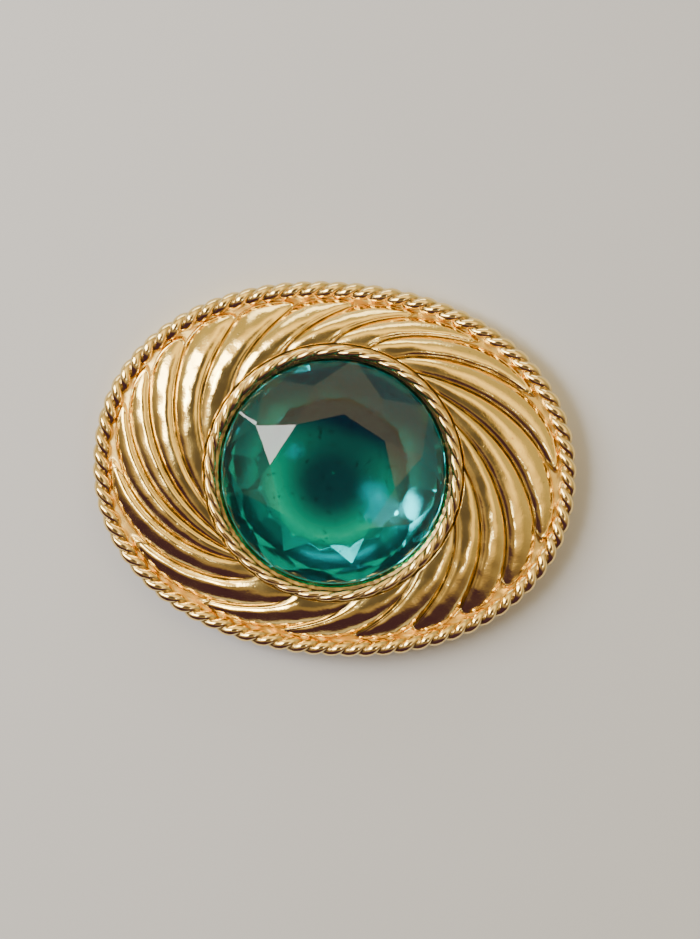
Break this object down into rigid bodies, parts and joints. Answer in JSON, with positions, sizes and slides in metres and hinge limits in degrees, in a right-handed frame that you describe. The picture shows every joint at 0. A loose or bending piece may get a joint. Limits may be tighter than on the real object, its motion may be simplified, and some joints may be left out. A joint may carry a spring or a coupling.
{
  "type": "brooch",
  "caption": "Oval domed brooch with swirled raised lobes, twisted rope borders and a round faceted stone, worn on clothing with a hinged pin and a turning safety catch.",
  "frame": {"origin": "Middle of the flat back rim, in the plane that rests on the garment.", "axes": "+X along the oval's long axis, towards the catch end; +Y along the short axis, up when worn; +Z out of the front, through the stone."},
  "size_m": [0.052, 0.0404, 0.0084],
  "materials": {
    "gold_metal": "polished gold-tone plating over cast brass",
    "rope_metal": "polished gold-tone twisted wire",
    "finding_metal": "gold-tone plating, lightly worn",
    "pin_metal": "polished plated spring steel",
    "foil": "mirror foil under lacquer",
    "stone_glass": "deep green glass, faceted crown and rounded back"
  },
  "bodies": {
    "brooch_body": {"body_shell": "gold_metal", "rim_rope": "rope_metal", "setting_cup": "gold_metal", "collar_rope": "rope_metal", "stone": "stone_glass", "stone_foil": "foil", "joint_bracket": "finding_metal", "joint_rivet": "finding_metal", "catch_body": "finding_metal"},
    "pin": {"pin_stem": "pin_metal"},
    "rotor": {"catch_rotor": "finding_metal"}
  },
  "joints": [
    {"name": "pin_hinge", "type": "hinge", "parent": "brooch_body", "child": "pin", "pos_m": [-0.0145, 0.009, 0.0016], "axis": [0, 1, 0], "range_deg": [0, 75]},
    {"name": "catch_turn", "type": "hinge", "parent": "brooch_body", "child": "rotor", "pos_m": [0.0145, 0.009, 0.0016], "axis": [-1, 0, 0], "range_deg": [0, 80]}
  ]
}
